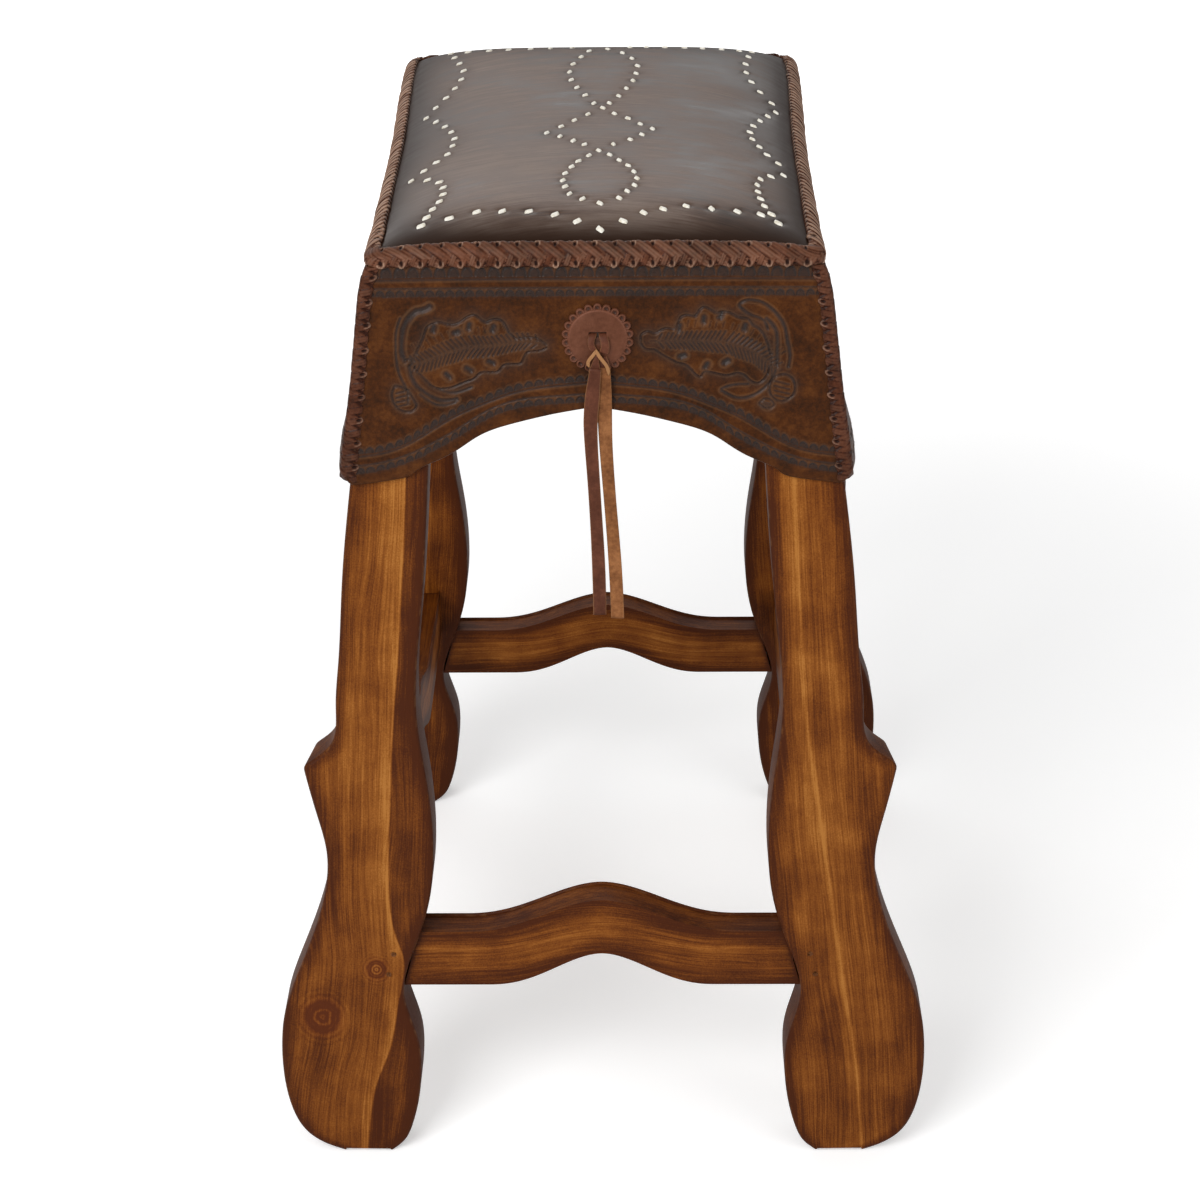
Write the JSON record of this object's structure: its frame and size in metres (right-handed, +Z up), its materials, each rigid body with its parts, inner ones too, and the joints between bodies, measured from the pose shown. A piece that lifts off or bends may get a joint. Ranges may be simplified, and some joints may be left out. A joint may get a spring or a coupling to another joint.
{
  "type": "leather bar stool",
  "caption": "Backless bar stool: padded leather seat with laced edges, tooled leather skirts with rosettes and hanging ties, shaped splayed pine legs and humped stretchers.",
  "frame": {"origin": "centre of the four feet's outline, on the floor", "axes": "+X to the right seen from the front, +Y from the front to the back, +Z up"},
  "size_m": [0.509, 0.565, 0.763],
  "materials": {
    "pine": "knotty pine with a golden-brown stain, satin",
    "rail_wood": "plain pine, unfinished",
    "board_wood": "plywood, unfinished",
    "screw_steel": "zinc plated steel",
    "nail_steel": "dark steel",
    "foam": "polyurethane foam",
    "seat_leather": "smooth dark grey-brown leather with a soft sheen",
    "tooled_leather": "tooled brown leather with dark antiquing",
    "lace_leather": "red-brown leather lace",
    "rosette_leather": "smooth red-brown leather",
    "tie_leather": "red-brown leather strap with a suede back",
    "rawhide": "white rawhide"
  },
  "bodies": {
    "stool": {"front_right_leg": "pine", "front_left_leg": "pine", "rear_right_leg": "pine", "rear_left_leg": "pine", "front_stretcher": "pine", "front_rail": "rail_wood", "front_skirt": "tooled_leather", "rear_stretcher": "pine", "rear_rail": "rail_wood", "rear_skirt": "tooled_leather", "right_stretcher": "pine", "right_rail": "rail_wood", "right_skirt": "tooled_leather", "left_stretcher": "pine", "left_rail": "rail_wood", "left_skirt": "tooled_leather", "seat_board": "board_wood", "seat_board_screws": "screw_steel", "stretcher_nails": "nail_steel", "seat_foam": "foam", "seat_cover": "seat_leather", "edge_lacing": "lace_leather", "front_right_corner_lacing": "lace_leather", "front_left_corner_lacing": "lace_leather", "rear_right_corner_lacing": "lace_leather", "rear_left_corner_lacing": "lace_leather", "rawhide_stitches": "rawhide", "front_rosette_base": "rosette_leather", "front_rosette_disc": "rosette_leather", "front_tie_bight": "tie_leather", "rear_rosette_base": "rosette_leather", "rear_rosette_disc": "rosette_leather", "rear_tie_bight": "tie_leather"},
    "front_tie": {"front_tie_knot": "tie_leather", "front_left_tail": "tie_leather", "front_right_tail": "tie_leather"},
    "rear_tie": {"rear_tie_knot": "tie_leather", "rear_left_tail": "tie_leather", "rear_right_tail": "tie_leather"}
  },
  "joints": [
    {"name": "front_tie_swing", "type": "hinge", "parent": "stool", "child": "front_tie", "pos_m": [-0.002, -0.2385, 0.689], "axis": [-1, 0, 0], "range_deg": [0, 75]},
    {"name": "rear_tie_swing", "type": "hinge", "parent": "stool", "child": "rear_tie", "pos_m": [-0.002, 0.2385, 0.689], "axis": [1, 0, 0], "range_deg": [0, 75]}
  ]
}
